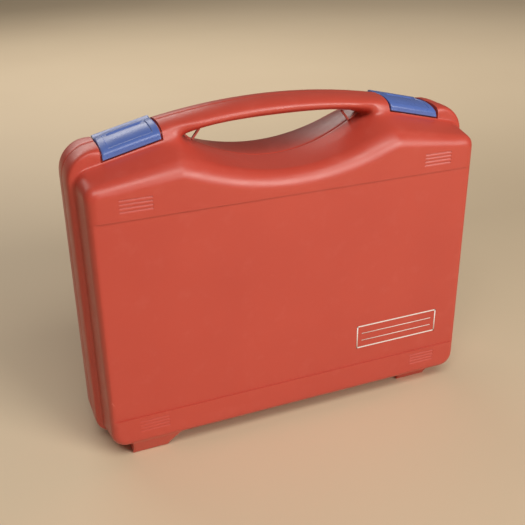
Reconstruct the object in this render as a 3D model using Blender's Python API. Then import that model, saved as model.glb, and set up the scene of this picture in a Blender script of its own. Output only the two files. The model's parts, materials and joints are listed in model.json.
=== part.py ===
"""Hard carrying case for a small hand-held laboratory photometer.

Two moulded half shells are hinged along their bottom edge, meet on the plane y = 0, and share an
arched handle above a finger gap.  Two snap latches pivot on the rear shell and hook over the rim
of the front shell.  Foam inserts hold the contents.  Origin: middle of the footprint, on the
surface that the case stands on.  The front faces -Y.
"""

from math import atan, atan2, cos, pi, sin, sqrt, tan

import bmesh
import bpy
from mathutils import Matrix, Vector

# Driving dimensions, in millimetres -----------------------------------------------------------
MM = 0.001
HALF_DEPTH = 41.5          # parting plane to the face of each shell
HALF_GAP = 0.15            # half of the gap between the two shells
WALL = 2.5
FIT = 0.4                  # gap between pieces that move or are pushed in
PIN_PLAY = 0.3             # gap around each pin
OVERRUN = 3.0              # how far a cutter reaches past what it cuts

RIM_DEPTH = 17.0           # depth of the flange around each shell
RIM_HALF_WIDTH = 137.5
RIM_BOTTOM = 8.6
RIM_CORNER_Z = 205.0
RIM_TOP = 224.7            # top of the handle on the middle line
ARCH = 0.00125             # drop of the top = ARCH * x * x
RIM_ROUND_TOP = 5.85       # how far the top of the flange rolls over towards its front edge
RIM_ROUND_SIDE = 3.0
RIM_ROUND_CORNER = 4.4
RIM_FOOT_RADIUS = 11.0     # lower corner of the flange
RIM_HEAD_RADIUS = 20.0     # upper corner of the flange

HANDLE_UNDER = 213.0       # underside of the handle on the middle line
HANDLE_DROP = (0.0004, 3.4e-7)   # drop of the underside with x to the powers 2 and 4
HANDLE_STEP = 15.0         # stations along the hollow of the handle
GAP_HALF_LENGTH = 63.3     # half length of the finger gap at the parting plane
GAP_SPREAD = 0.08          # how much longer the gap is at its front edge

PANEL = (32.2, 171.0)      # bottom and top of the sunk panel, which crosses the whole face
PANEL_DEPTH = 0.8

TRAY_FOOT_RADIUS = 10.0    # lower corner of the tray
CUSP_RADIUS = 9.0          # corner where the shoulder turns down into the scoop
EDGE_BOTTOM = 4.5          # rounding between the walls and the face
EDGE_SIDE = 6.0
EDGE_SHOULDER = (6.5, 2.0)       # at its outer end, and how much it grows inwards
EDGE_CUSP = 8.5
EDGE_CURL = 9.5
EDGE_SCOOP = 10.5

SCOOP_FLOOR = 185.4        # floor of the finger scoop on the middle line
SCOOP_CURVES = (0.0055, 0.0049, 0.0033, 0.0031)   # rise of its floor = curve * x * x

AXIS_Z = 4.4               # hinge axis, on the parting plane
KNUCKLE_RADIUS = 4.1
KNUCKLE_LENGTH = 14.3
KNUCKLE_GAP = 0.2          # half of the gap between two knuckles
KNUCKLE_ROOM = 0.5         # gap between a knuckle and the other shell
HINGE_X = 101.5            # middle of each pair of knuckles
HINGE_PIN_RADIUS = 1.5
HINGE_PIN_LENGTH = 29.0

LATCH_X = 96.8             # middle of each latch
LATCH_LENGTH = 36.9        # along the slope of the top
LATCH_AXIS = (13.0, -4.2)  # y, and height from the top of the flange
LATCH_BARREL_RADIUS = 3.6
LATCH_PIN_RADIUS = 1.2
LATCH_PIN_LENGTH = 44.8
LATCH_LIP = 17.3           # front of the latch from the parting plane
LATCH_LIP_BOTTOM = -7.9
LATCH_ROUND_Z = -5.6       # where the roll-over of the latch starts
LATCH_SKIN = 2.8
LATCH_HEIGHT = 5.7         # from where the roll-over starts to the top
LATCH_TOP_END = 0.48       # angle past the top at which the top meets the barrel
BARREL_ANGLES = (1.75, -3.69)    # the part of the barrel's outside that is free
SEAT_BOTTOM = -8.6
SEAT_DEPTH = 19.0          # how far the room for a latch reaches from the parting plane
SEAT_ABOVE = 5.0
SEAT_MARGIN = 1.35         # gap at each end of a latch

FOOT_TOP = 12.0
FEET = (                   # x at the square end and at both ends of the slope, y front
    (-118.0, -94.0, -82.5, -34.5),
    (90.5, 114.5, 122.0, -28.0),
)
FOOT_BACK = 5.8

FOAM_HALF_WIDTH = 126.5
FOAM_BOTTOM = 16.0
FOAM_TOP = 173.5
FOAM_CORNER = 14.0
FOAM_PAD = (30.4, 38.2)    # from and to, measured from the parting plane
FOAM_BLOCK = (1.0, 30.0)
FOAM_POCKETS = (           # x from, x to, z from, z to
    (-117.0, 43.0, 24.0, 164.0),
    (56.0, 116.0, 24.0, 84.0),
    (56.0, 116.0, 98.0, 164.0),
)
POCKET_CORNER = 9.0

RED = (0.52, 0.065, 0.045, 1.0)
BLUE = (0.045, 0.10, 0.31, 1.0)
STEEL = (0.55, 0.55, 0.56, 1.0)
FOAM = (0.045, 0.045, 0.05, 1.0)


# Outlines: half of each is listed from the bottom up, as x, z, corner radius, edge rounding ----
def tray_corners(bottom, half_width, corner_z, corner_radius, cusp, curl, curve):
    """Half outline of the tray: bottom, side, shoulder, cusp and finger scoop."""
    stations = (60, 50, 40, 30, 20, 10, 0)
    scoop = [(x, SCOOP_FLOOR + curve * x * x, 0, EDGE_SCOOP) for x in stations]
    shoulder = []
    for share in (0.25, 0.45, 0.65, 0.82):
        x = half_width + (cusp[0] - half_width) * share
        z = corner_z + (cusp[1] - corner_z) * share
        shoulder.append((x, z, 0, EDGE_SHOULDER[0] + EDGE_SHOULDER[1] * share))
    return [
        (0.0, bottom, 0, EDGE_BOTTOM),
        (half_width, bottom, TRAY_FOOT_RADIUS, EDGE_BOTTOM),
        (half_width, corner_z, corner_radius, EDGE_SIDE),
        *shoulder,
        (*cusp, CUSP_RADIUS, EDGE_CUSP),
        (*curl, 0, EDGE_CURL),
        *scoop,
    ]


TRAY_SHAPES = (            # bottom, half width, corner z and radius, cusp, curl
    (9.4, 133.6, 195.0, 11.0, (70.5, 210.0), (65.5, 208.3)),
    (9.6, 133.4, 195.0, 11.0, (71.0, 209.6), (66.0, 206.9)),
    (10.9, 131.5, 191.3, 7.5, (72.5, 199.8), (66.5, 198.9)),
    (11.1, 131.1, 190.7, 7.5, (72.5, 199.0), (66.5, 198.1)),
)
TRAY_DEPTHS = (-4.0, RIM_DEPTH, 37.0, HALF_DEPTH)   # from the parting plane
TRAY_LEVELS = [
    (depth, tray_corners(*shape, curve))
    for depth, shape, curve in zip(TRAY_DEPTHS, TRAY_SHAPES, SCOOP_CURVES)
]


def rim_top(x):
    return RIM_TOP - ARCH * x * x


def rim_corners():
    top = [(x, rim_top(x), 0, RIM_ROUND_TOP) for x in (112, 96, 80, 64, 48, 32, 16, 0)]
    return [
        (0.0, RIM_BOTTOM, 0, RIM_ROUND_SIDE),
        (RIM_HALF_WIDTH, RIM_BOTTOM, RIM_FOOT_RADIUS, RIM_ROUND_SIDE),
        (RIM_HALF_WIDTH, RIM_CORNER_Z, RIM_HEAD_RADIUS, RIM_ROUND_CORNER),
    ] + top


def fillet(before, corner, after, radius, steps=6):
    """Points on the arc that rounds a corner."""
    corner = Vector(corner)
    back = (Vector(before) - corner).normalized()
    ahead = (Vector(after) - corner).normalized()
    half = back.angle(ahead) / 2
    centre = corner + (back + ahead).normalized() * (radius / sin(half))
    first = corner + back * (radius / tan(half)) - centre
    last = corner + ahead * (radius / tan(half)) - centre
    start = atan2(first.y, first.x)
    sweep = (atan2(last.y, last.x) - start + pi) % (2 * pi) - pi
    angles = [start + sweep * step / steps for step in range(steps + 1)]
    return [(centre.x + radius * cos(a), centre.y + radius * sin(a)) for a in angles]


def half_outline(corners):
    """Corner list to points x, z and edge rounding."""
    points = [(corners[0][0], corners[0][1], corners[0][3])]
    for before, here, after in zip(corners, corners[1:], corners[2:]):
        if here[2]:
            arc = fillet(before[:2], here[:2], after[:2], here[2])
            points += [(x, z, here[3]) for x, z in arc]
        else:
            points.append((here[0], here[1], here[3]))
    points.append((corners[-1][0], corners[-1][1], corners[-1][3]))
    return points


def closed_outline(corners):
    """Half outline joined to its mirror image, counter-clockwise from the bottom middle."""
    half = half_outline(corners)
    mirrored = [(-x, z, edge) for x, z, edge in reversed(half[1:-1])]
    return half + mirrored


def outward_normals(outline):
    normals = []
    count = len(outline)
    for index in range(count):
        before = outline[index - 1]
        after = outline[(index + 1) % count]
        along = Vector((after[0] - before[0], after[1] - before[1])).normalized()
        normals.append(Vector((along.y, -along.x)))
    return normals


# Mesh helpers --------------------------------------------------------------------------------
def clear_scene():
    for item in list(bpy.data.objects):
        bpy.data.objects.remove(item, do_unlink=True)


def new_collection(name):
    collection = bpy.data.collections.new(name)
    bpy.context.scene.collection.children.link(collection)
    return collection


def make_material(name, colour, roughness, metallic=0.0):
    material = bpy.data.materials.new(name)
    material.use_nodes = True
    shader = material.node_tree.nodes["Principled BSDF"]
    shader.inputs["Base Color"].default_value = colour
    shader.inputs["Roughness"].default_value = roughness
    shader.inputs["Metallic"].default_value = metallic
    material.diffuse_color = colour
    return material


def add_object(name, bm, collection, matrix=Matrix.Identity(4)):
    """Turns millimetre geometry into an object in metres."""
    bmesh.ops.transform(bm, matrix=Matrix.Scale(MM, 4) @ matrix, verts=bm.verts)
    bmesh.ops.recalc_face_normals(bm, faces=bm.faces)
    mesh = bpy.data.meshes.new(name)
    bm.to_mesh(mesh)
    bm.free()
    item = bpy.data.objects.new(name, mesh)
    collection.objects.link(item)
    if collection.name == "cutters":
        item.hide_render = True
        item.display_type = "WIRE"
    return item


def loft(name, rings, collection, matrix=Matrix.Identity(4)):
    """Closed solid through rings of points, with a cap on the first and the last."""
    bm = bmesh.new()
    loops = [[bm.verts.new(point) for point in ring] for ring in rings]
    count = len(rings[0])
    for near, far in zip(loops, loops[1:]):
        for index in range(count):
            follow = (index + 1) % count
            bm.faces.new((near[index], near[follow], far[follow], far[index]))
    bm.faces.new(loops[0])
    bm.faces.new(loops[-1])
    return add_object(name, bm, collection, matrix)


def prism_x(name, section, half_length, lean, collection, matrix=Matrix.Identity(4)):
    """Section in y, z drawn out along x; lean is how far its ends move in x per unit of z."""
    ends = (-half_length, half_length)
    rings = [[(x + lean * z, y, z) for y, z in section] for x in ends]
    return loft(name, rings, collection, matrix)


def prism_y(name, outline, y_from, y_to, collection, matrix=Matrix.Identity(4)):
    """Outline in x, z drawn out along y."""
    rings = [[(x, y, z) for x, z in outline] for y in (y_from, y_to)]
    return loft(name, rings, collection, matrix)


def block(name, lowest, highest, collection, matrix=Matrix.Identity(4)):
    size = [high - low for low, high in zip(lowest, highest)]
    middle = [(high + low) / 2 for low, high in zip(lowest, highest)]
    bm = bmesh.new()
    place = Matrix.Translation(middle) @ Matrix.Diagonal((*size, 1.0))
    bmesh.ops.create_cube(bm, size=1.0, matrix=place)
    return add_object(name, bm, collection, matrix)


def rod_x(name, radius, length, centre, collection, matrix=Matrix.Identity(4), segments=24):
    """Round bar along x."""
    bm = bmesh.new()
    place = Matrix.Translation(centre) @ Matrix.Rotation(pi / 2, 4, "Y")
    bmesh.ops.create_cone(
        bm,
        cap_ends=True,
        segments=segments,
        radius1=radius,
        radius2=radius,
        depth=length,
        matrix=place,
    )
    return add_object(name, bm, collection, matrix)


def combine(item, operation, other):
    modifier = item.modifiers.new(f"{operation.lower()}_{other.name}", "BOOLEAN")
    modifier.operation = operation
    modifier.object = other
    modifier.solver = "EXACT"


def finish(item, material, origin=(0.0, 0.0, 0.0)):
    """Gives a piece its material and moves its origin, in millimetres."""
    shift = Vector(origin) * MM
    item.data.transform(Matrix.Translation(-shift))
    item.location = shift
    item.data.materials.append(material)
    item.data.shade_smooth()
    item.data.set_sharp_from_angle(angle=0.6)


# The half shell ------------------------------------------------------------------------------
def tray_point(levels, index, depth):
    """Point of the drafted tray wall at a distance from the parting plane."""
    for (near, inner), (far, outer) in zip(levels, levels[1:]):
        if depth <= far:
            break
    share = (depth - near) / (far - near)
    a = inner[index]
    b = outer[index]
    return Vector((a[0] + (b[0] - a[0]) * share, a[1] + (b[1] - a[1]) * share))


def tray_rings(start_depths, inset):
    """Rings from the parting plane out to the face; inset is 0 outside and WALL inside."""
    levels = [(depth, closed_outline(corners)) for depth, corners in TRAY_LEVELS]
    wall_normals = outward_normals(levels[1][1])
    face_normals = outward_normals(levels[2][1])
    edges = [point[2] for point in levels[1][1]]
    rings = []
    for depth in start_depths:
        ring = []
        for index, normal in enumerate(wall_normals):
            spot = tray_point(levels, index, depth) - normal * inset
            ring.append((spot.x, -depth, spot.y))
        rings.append(ring)
    for step in range(5):
        turn = pi / 2 * step / 4
        ring = []
        for index, normal in enumerate(face_normals):
            radius = edges[index] - inset
            depth = HALF_DEPTH - inset - radius + radius * sin(turn)
            spot = tray_point(levels, index, depth)
            spot -= normal * (inset + radius * (1 - cos(turn)))
            ring.append((spot.x, -depth, spot.y))
        rings.append(ring)
    return rings


def rim_rings():
    """Rings of the flange plate, which rolls over towards its front edge."""
    outline = closed_outline(rim_corners())
    normals = outward_normals(outline)
    rings = []
    for depth in (-2.0, 0.0, 5.0, 9.0, 12.0, 14.0, 15.5, 16.5, RIM_DEPTH):
        ring = []
        for (x, z, drop), normal in zip(outline, normals):
            power = 2.0 + (RIM_ROUND_TOP - drop) * 1.4
            share = max(depth, 0.0) / RIM_DEPTH
            inset = drop * (1 - max(1 - share ** power, 0.0) ** (1 / power))
            ring.append((x - normal.x * inset, -depth, z - normal.y * inset))
        rings.append(ring)
    return rings


def handle_middle(x):
    return rim_top(x) - RIM_ROUND_TOP


def handle_under(x):
    return HANDLE_UNDER - HANDLE_DROP[0] * x ** 2 - HANDLE_DROP[1] * x ** 4


def gap_rings():
    """Finger gap between the scoop and the handle, cut from the flange plate."""
    rings = []
    below = 1.5                # under the floor of the scoop, inside the hollow of the tray
    reach = RIM_DEPTH + HALF_GAP * 2
    front = -RIM_DEPTH - OVERRUN
    stations = 14
    for station in range(stations + 1):
        x = GAP_HALF_LENGTH * (2 * station / stations - 1)
        middle = handle_middle(x)
        height = middle - handle_under(x)
        floor_back = SCOOP_FLOOR + SCOOP_CURVES[0] * x * x - below
        floor_front = SCOOP_FLOOR + SCOOP_CURVES[1] * x * x - below
        section = [
            (OVERRUN, floor_back),
            (0.0, floor_back),
            (front, floor_front),
            (front, middle),
        ]
        for step in range(7):
            turn = pi / 2 * step / 6
            section.append((-reach * cos(turn), middle - height * sin(turn)))
        section.append((OVERRUN, middle - height))
        rings.append([(x * (1 + GAP_SPREAD * min(y, 0.0) / front), y, z) for y, z in section])
    return rings


def handle_pocket_rings():
    """Hollow of the handle, open at the parting plane."""
    rings = []
    reach = RIM_DEPTH - WALL
    for station in range(9):
        x = HANDLE_STEP * (station - 4)
        middle = handle_middle(x)
        up = RIM_ROUND_TOP - WALL
        down = middle - handle_under(x) - WALL
        section = [(OVERRUN, middle - down)]
        for step in range(9):
            turn = pi * (step / 8 - 0.5)
            height = up if turn > 0 else down
            section.append((-reach * cos(turn), middle + height * sin(turn)))
        section.append((OVERRUN, middle + up))
        rings.append([(x, y, z) for y, z in section])
    return rings


def ellipse_arc(reach, height, middle, first, last, steps):
    """Points y, z from angle first to last; the angle is measured from -y upwards."""
    points = []
    for step in range(steps + 1):
        turn = first + (last - first) * step / steps
        points.append((-reach * cos(turn), middle + height * sin(turn)))
    return points


def latch_slope():
    return 2 * ARCH * LATCH_X


def latch_frame(side):
    """Frame of a latch: on top of the flange, with x along its slope."""
    place = Matrix.Translation((side * LATCH_X, 0.0, rim_top(LATCH_X)))
    return place @ Matrix.Rotation(side * atan(latch_slope()), 4, "Y")


def front_seat_section():
    """Room for the lip and the top of a latch in the front shell."""
    reach = LATCH_LIP - LATCH_SKIN - FIT
    height = -LATCH_ROUND_Z - LATCH_SKIN
    arc = ellipse_arc(reach, height, LATCH_ROUND_Z, 0.0, pi / 2, 6)
    inside = [(-SEAT_DEPTH, SEAT_BOTTOM), (-reach, SEAT_BOTTOM)]
    back = [(OVERRUN, arc[-1][1]), (OVERRUN, SEAT_ABOVE), (-SEAT_DEPTH, SEAT_ABOVE)]
    return inside + arc + back


def rear_seat_section():
    """Room for the top and the barrel of a latch in the rear shell."""
    reach = LATCH_LIP - LATCH_SKIN - FIT
    height = -LATCH_ROUND_Z - LATCH_SKIN
    top = LATCH_ROUND_Z + height
    well = LATCH_AXIS[0] - LATCH_BARREL_RADIUS - FIT
    edge = LATCH_ROUND_Z + height * sqrt(1 - (well / reach) ** 2)
    inside = [(-OVERRUN, top), (0.0, top), (well, edge), (well, SEAT_BOTTOM)]
    back = [(SEAT_DEPTH, SEAT_BOTTOM), (SEAT_DEPTH, SEAT_ABOVE), (-OVERRUN, SEAT_ABOVE)]
    return inside + back


def build_shell(name, half_turn, parts, cutters):
    """One half shell.  It is drawn as the front half; the rear half is turned about z."""
    turn = Matrix.Rotation(pi, 4, "Z") if half_turn else Matrix.Identity(4)
    tag = name.split("_")[0]

    rim = loft(f"{tag}_rim", rim_rings(), cutters, turn)
    gap = loft(f"{tag}_finger_gap", gap_rings(), cutters, turn)
    combine(rim, "DIFFERENCE", gap)

    shell = loft(name, tray_rings((-1.0, 5.0, RIM_DEPTH - 1.6, 21.0, 26.0), 0.0), parts, turn)
    panel = block(
        f"{tag}_panel",
        (-RIM_HALF_WIDTH, -HALF_DEPTH - OVERRUN, PANEL[0]),
        (RIM_HALF_WIDTH, -HALF_DEPTH + PANEL_DEPTH, PANEL[1]),
        cutters,
        turn,
    )
    combine(shell, "DIFFERENCE", panel)
    combine(shell, "UNION", rim)

    for number, (square, toe, slope, front) in enumerate(FEET):
        outline = [(square, 0.0), (toe, 0.0), (slope, FOOT_TOP), (square, FOOT_TOP)]
        foot = prism_y(f"{tag}_foot_{number}", outline, front, -FOOT_BACK, cutters, turn)
        combine(shell, "UNION", foot)

    cavity_rings = tray_rings((-3.0, 5.0, RIM_DEPTH - 1.6, 21.0, 26.0), WALL)
    cavity = loft(f"{tag}_cavity", cavity_rings, cutters, turn)
    combine(shell, "DIFFERENCE", cavity)
    hollow = loft(f"{tag}_handle_hollow", handle_pocket_rings(), cutters, turn)
    combine(shell, "DIFFERENCE", hollow)

    beyond = block(
        f"{tag}_parting",
        (-RIM_HALF_WIDTH - 10.0, -HALF_GAP, -10.0),
        (RIM_HALF_WIDTH + 10.0, 12.0, RIM_TOP + 10.0),
        cutters,
        turn,
    )
    combine(shell, "DIFFERENCE", beyond)

    for side in (-1, 1):
        own = side * HINGE_X - KNUCKLE_GAP - KNUCKLE_LENGTH / 2
        other = side * HINGE_X + KNUCKLE_GAP + KNUCKLE_LENGTH / 2
        neck_half = KNUCKLE_LENGTH / 2 - 0.5
        room = rod_x(
            f"{tag}_knuckle_room_{side}",
            KNUCKLE_RADIUS + KNUCKLE_ROOM,
            KNUCKLE_LENGTH + 2 * KNUCKLE_ROOM,
            (other + KNUCKLE_ROOM - KNUCKLE_GAP, 0.0, AXIS_Z),
            cutters,
            turn,
        )
        knuckle = rod_x(
            f"{tag}_knuckle_{side}",
            KNUCKLE_RADIUS,
            KNUCKLE_LENGTH,
            (own, 0.0, AXIS_Z),
            cutters,
            turn,
        )
        neck = block(
            f"{tag}_knuckle_neck_{side}",
            (own - neck_half, -KNUCKLE_RADIUS + 0.3, AXIS_Z),
            (own + neck_half, -FIT, RIM_BOTTOM + 1.5),
            cutters,
            turn,
        )
        bore = rod_x(
            f"{tag}_hinge_bore_{side}",
            HINGE_PIN_RADIUS + PIN_PLAY,
            HINGE_PIN_LENGTH + 1.0,
            (side * HINGE_X, 0.0, AXIS_Z),
            cutters,
            turn,
            segments=16,
        )
        combine(shell, "DIFFERENCE", room)
        combine(shell, "UNION", knuckle)
        combine(shell, "UNION", neck)
        combine(shell, "DIFFERENCE", bore)

    seat_half = LATCH_LENGTH / 2 + SEAT_MARGIN
    for side in (-1, 1):
        frame = latch_frame(side)
        section = rear_seat_section() if half_turn else front_seat_section()
        lean = -side * latch_slope()
        seat = prism_x(f"{tag}_latch_seat_{side}", section, seat_half, lean, cutters, frame)
        combine(shell, "DIFFERENCE", seat)
        if half_turn:
            bore = rod_x(
                f"{tag}_latch_bore_{side}",
                LATCH_PIN_RADIUS + PIN_PLAY,
                LATCH_PIN_LENGTH + 2 * FIT,
                (0.0, *LATCH_AXIS),
                cutters,
                frame,
                segments=16,
            )
            combine(shell, "DIFFERENCE", bore)
    return shell


# The latches and pins -----------------------------------------------------------------------
def latch_section():
    """Hooked channel: front lip, rolled top, and the barrel that the pin goes through."""
    inner_reach = LATCH_LIP - LATCH_SKIN
    inner_height = -LATCH_ROUND_Z - LATCH_SKIN + FIT
    top_end = pi / 2 + LATCH_TOP_END
    outer = ellipse_arc(LATCH_LIP, LATCH_HEIGHT, LATCH_ROUND_Z, 0.0, top_end, 9)
    inner = ellipse_arc(inner_reach, inner_height, LATCH_ROUND_Z, top_end, 0.0, 8)
    barrel = []
    for step in range(13):
        turn = BARREL_ANGLES[0] + (BARREL_ANGLES[1] - BARREL_ANGLES[0]) * step / 12
        y = LATCH_AXIS[0] + LATCH_BARREL_RADIUS * cos(turn)
        z = LATCH_AXIS[1] + LATCH_BARREL_RADIUS * sin(turn)
        barrel.append((y, z))
    lip_outer = [(-LATCH_LIP, LATCH_LIP_BOTTOM)]
    lip_inner = [(-inner_reach, LATCH_LIP_BOTTOM)]
    return lip_outer + outer + barrel + inner + lip_inner


def latch_pivot(side):
    return latch_frame(side) @ Vector((0.0, *LATCH_AXIS))


def build_latch(name, side, parts, cutters, material):
    frame = latch_frame(side)
    lean = -side * latch_slope()
    latch = prism_x(name, latch_section(), LATCH_LENGTH / 2, lean, parts, frame)
    bore = rod_x(
        f"{name}_bore",
        LATCH_PIN_RADIUS + PIN_PLAY,
        LATCH_PIN_LENGTH,
        (0.0, *LATCH_AXIS),
        cutters,
        frame,
        segments=16,
    )
    combine(latch, "DIFFERENCE", bore)
    finish(latch, material, latch_pivot(side))


def build_latch_pin(name, side, parts, material):
    place = (0.0, *LATCH_AXIS)
    pin = rod_x(name, LATCH_PIN_RADIUS, LATCH_PIN_LENGTH, place, parts, latch_frame(side), 16)
    finish(pin, material, latch_pivot(side))


def build_hinge_pin(name, side, parts, material):
    place = (side * HINGE_X, 0.0, AXIS_Z)
    pin = rod_x(name, HINGE_PIN_RADIUS, HINGE_PIN_LENGTH, place, parts, segments=16)
    finish(pin, material, place)


# The foam -----------------------------------------------------------------------------------
def rounded_rectangle(x_from, x_to, z_from, z_to, radius):
    corners = [(x_from, z_from), (x_to, z_from), (x_to, z_to), (x_from, z_to)]
    points = []
    for index, corner in enumerate(corners):
        points += fillet(corners[index - 1], corner, corners[(index + 1) % 4], radius, 5)
    return points


def build_foam(name, layer, facing, pockets, parts, cutters, material, origin):
    """A foam layer: facing is -1 in the front shell and 1 in the rear shell."""
    outline = rounded_rectangle(
        -FOAM_HALF_WIDTH, FOAM_HALF_WIDTH, FOAM_BOTTOM, FOAM_TOP, FOAM_CORNER
    )
    foam = prism_y(name, outline, facing * layer[0], facing * layer[1], parts)
    for number, pocket in enumerate(pockets):
        hole = rounded_rectangle(*pocket, POCKET_CORNER)
        cutter = prism_y(f"{name}_pocket_{number}", hole, -HALF_DEPTH, HALF_DEPTH, cutters)
        combine(foam, "DIFFERENCE", cutter)
    finish(foam, material, origin)


def build_case():
    clear_scene()
    parts = new_collection("photometer_case")
    cutters = new_collection("cutters")
    hinge = (0.0, 0.0, AXIS_Z)

    rear = build_shell("rear_shell", True, parts, cutters)
    finish(rear, make_material("red_moulding_rear", RED, 0.42))
    front = build_shell("front_shell", False, parts, cutters)
    finish(front, make_material("red_moulding_front", RED, 0.42), hinge)

    for word, side in (("left", -1), ("right", 1)):
        blue = make_material(f"blue_moulding_{word}", BLUE, 0.35)
        build_latch(f"latch_{word}", side, parts, cutters, blue)
        steel = make_material(f"latch_pin_steel_{word}", STEEL, 0.3, 1.0)
        build_latch_pin(f"latch_pin_{word}", side, parts, steel)
        steel = make_material(f"hinge_pin_steel_{word}", STEEL, 0.3, 1.0)
        build_hinge_pin(f"hinge_pin_{word}", side, parts, steel)

    layers = (
        ("base_foam_pad", FOAM_PAD, 1, (), (0.0, 0.0, 0.0)),
        ("base_foam_block", FOAM_BLOCK, 1, FOAM_POCKETS, (0.0, 0.0, 0.0)),
        ("lid_foam_pad", FOAM_PAD, -1, (), hinge),
        ("lid_foam_block", FOAM_BLOCK, -1, FOAM_POCKETS[:1], hinge),
    )
    for name, layer, facing, pockets, origin in layers:
        grey = make_material(f"{name}_grey", FOAM, 0.95)
        build_foam(name, layer, facing, pockets, parts, cutters, grey, origin)


build_case()
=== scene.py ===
"""Looks of the carrying case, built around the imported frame.

Lengths are in millimetres until a piece is finished.  Outlines in x, z are drawn for the front
half shell, whose depth runs from the parting plane towards -y; the rear half shell is the same
moulding turned half a turn about z.
"""

import json
from math import atan, atan2, ceil, cos, pi, radians, sin, sqrt, tan

import bmesh
import bpy
import numpy as np
from mathutils import Matrix, Vector

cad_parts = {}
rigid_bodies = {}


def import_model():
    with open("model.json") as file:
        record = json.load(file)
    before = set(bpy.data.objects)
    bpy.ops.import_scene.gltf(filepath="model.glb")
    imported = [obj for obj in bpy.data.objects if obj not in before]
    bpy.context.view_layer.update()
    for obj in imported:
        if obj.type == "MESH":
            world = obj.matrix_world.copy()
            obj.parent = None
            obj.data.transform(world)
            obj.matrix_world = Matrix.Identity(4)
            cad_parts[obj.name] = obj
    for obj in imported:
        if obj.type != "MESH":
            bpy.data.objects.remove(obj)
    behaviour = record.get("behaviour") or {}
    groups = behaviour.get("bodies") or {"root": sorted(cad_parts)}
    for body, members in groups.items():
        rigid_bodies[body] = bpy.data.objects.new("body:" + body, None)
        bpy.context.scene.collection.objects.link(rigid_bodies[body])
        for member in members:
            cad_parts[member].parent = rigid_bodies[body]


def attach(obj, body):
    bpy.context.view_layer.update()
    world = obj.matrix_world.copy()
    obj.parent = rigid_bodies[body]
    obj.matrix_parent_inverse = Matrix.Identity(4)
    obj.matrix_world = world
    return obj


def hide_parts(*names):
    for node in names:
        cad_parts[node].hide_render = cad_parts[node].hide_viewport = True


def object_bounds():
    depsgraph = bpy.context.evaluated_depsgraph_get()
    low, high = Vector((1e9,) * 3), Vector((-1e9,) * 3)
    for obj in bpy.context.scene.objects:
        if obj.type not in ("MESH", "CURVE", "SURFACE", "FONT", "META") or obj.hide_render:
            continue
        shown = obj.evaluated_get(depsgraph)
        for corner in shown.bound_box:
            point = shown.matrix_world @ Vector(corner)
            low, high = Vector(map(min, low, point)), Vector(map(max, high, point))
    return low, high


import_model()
CAD_LOW, CAD_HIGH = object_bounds()

# Dimensions, in millimetres -------------------------------------------------------------------
MM = 0.001
HALF_DEPTH = CAD_HIGH.y / MM     # parting plane to the face of each shell
RIM_HALF_WIDTH = CAD_HIGH.x / MM
RIM_TOP = CAD_HIGH.z / MM
HALF_GAP = 0.15            # from the parting plane to each shell
WALL = 2.5
FIT = 0.4

RIM_DEPTH = 17.0           # flange plate, whose top edge is the back of the handle
RIM_BOTTOM = 8.6
RIM_CORNER_Z = 205.0
RIM_RADIUS_LOW = 11.0      # corner radii of the flange in the outline
RIM_RADIUS_HIGH = 20.0
ARCH = 0.00125             # drop of the top edge with x squared
RIM_ROUND_TOP = 5.85       # edge roundings of the flange
RIM_ROUND_CORNER = 4.4
RIM_ROUND_SIDE = 3.0
PARTING_ROUND = 0.8

TRAY_RADIUS_LOW = 10.0     # corner radii of the tray in the outline
CUSP_RADIUS = 9.0
TRAY_SHAPES = (            # depth, bottom, half width, corner z and radius, cusp, curl
    (-4.0, 9.4, 133.6, 195.0, 11.0, (70.5, 210.0), (65.5, 208.3)),
    (RIM_DEPTH, 9.6, 133.4, 195.0, 11.0, (71.0, 209.6), (66.0, 206.9)),
    (37.0, 10.9, 131.5, 191.3, 7.5, (72.5, 199.8), (66.5, 198.9)),
    (HALF_DEPTH, 11.1, 131.1, 190.7, 7.5, (72.5, 199.0), (66.5, 198.1)),
)
SHOULDER_SHARES = (0.25, 0.45, 0.65, 0.82)
EDGE_BOTTOM = 4.5          # edge roundings of the face around the tray's outline
EDGE_CORNER = 6.0
EDGE_SHOULDER = (6.5, 2.0)         # at the corner, and how much it grows towards the cusp
EDGE_CUSP = 8.5
EDGE_CURL = 9.5
EDGE_SCOOP = 10.5

HANDLE_UNDER = 213.0
HANDLE_DROP = (0.0004, 3.4e-7)     # drop of the underside with x to the powers 2 and 4
HANDLE_STEP = 15.0         # stations along the hollow of the handle
GAP_HALF_LENGTH = 63.3
GAP_SPREAD = 0.08          # how much longer the finger gap is at its front edge
GAP_FRONT = -20.0
GAP_BELOW = 1.5            # how far the gap is cut below the floor of the scoop
SCOOP_FLOOR = 185.4
SCOOP_CURVES = (0.0055, 0.0049, 0.0033, 0.0031)    # rise of the scoop with x squared
SCOOP_END = 60
SCOOP_STEP = 5
RIM_END = 112
RIM_STEP = 8

PANEL = (32.2, 171.0)      # lower and upper edge of the sunk panel
PANEL_DEPTH = 0.8

RIB_X = 102.5
RIB_ROWS = (21.5, 176.6)
RIB_PITCH = 2.4
RIB_COUNT = 4
RIB_HALF_LENGTH = 10.0
RIB_DEPTH = 0.5
RIB_BELOW = 2.0            # height of the sloped flank of a groove
RIB_ABOVE = 0.45           # height of its steep flank

FEET = (                   # name, section in y, z, x of both ends, splay of the outer end
    (
        "left_foot",
        ((-5.8, 0.0), (-34.8, 0.0), (-40.0, 12.6), (-30.0, 16.0), (-5.8, 16.0)),
        (-118.0, -94.0),
        0.85,
    ),
    (
        "right_foot",
        ((-5.8, 0.0), (-28.0, 0.0), (-33.0, 12.0), (-5.8, 12.0)),
        (90.5, 114.5),
        0.6,
    ),
)

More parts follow.
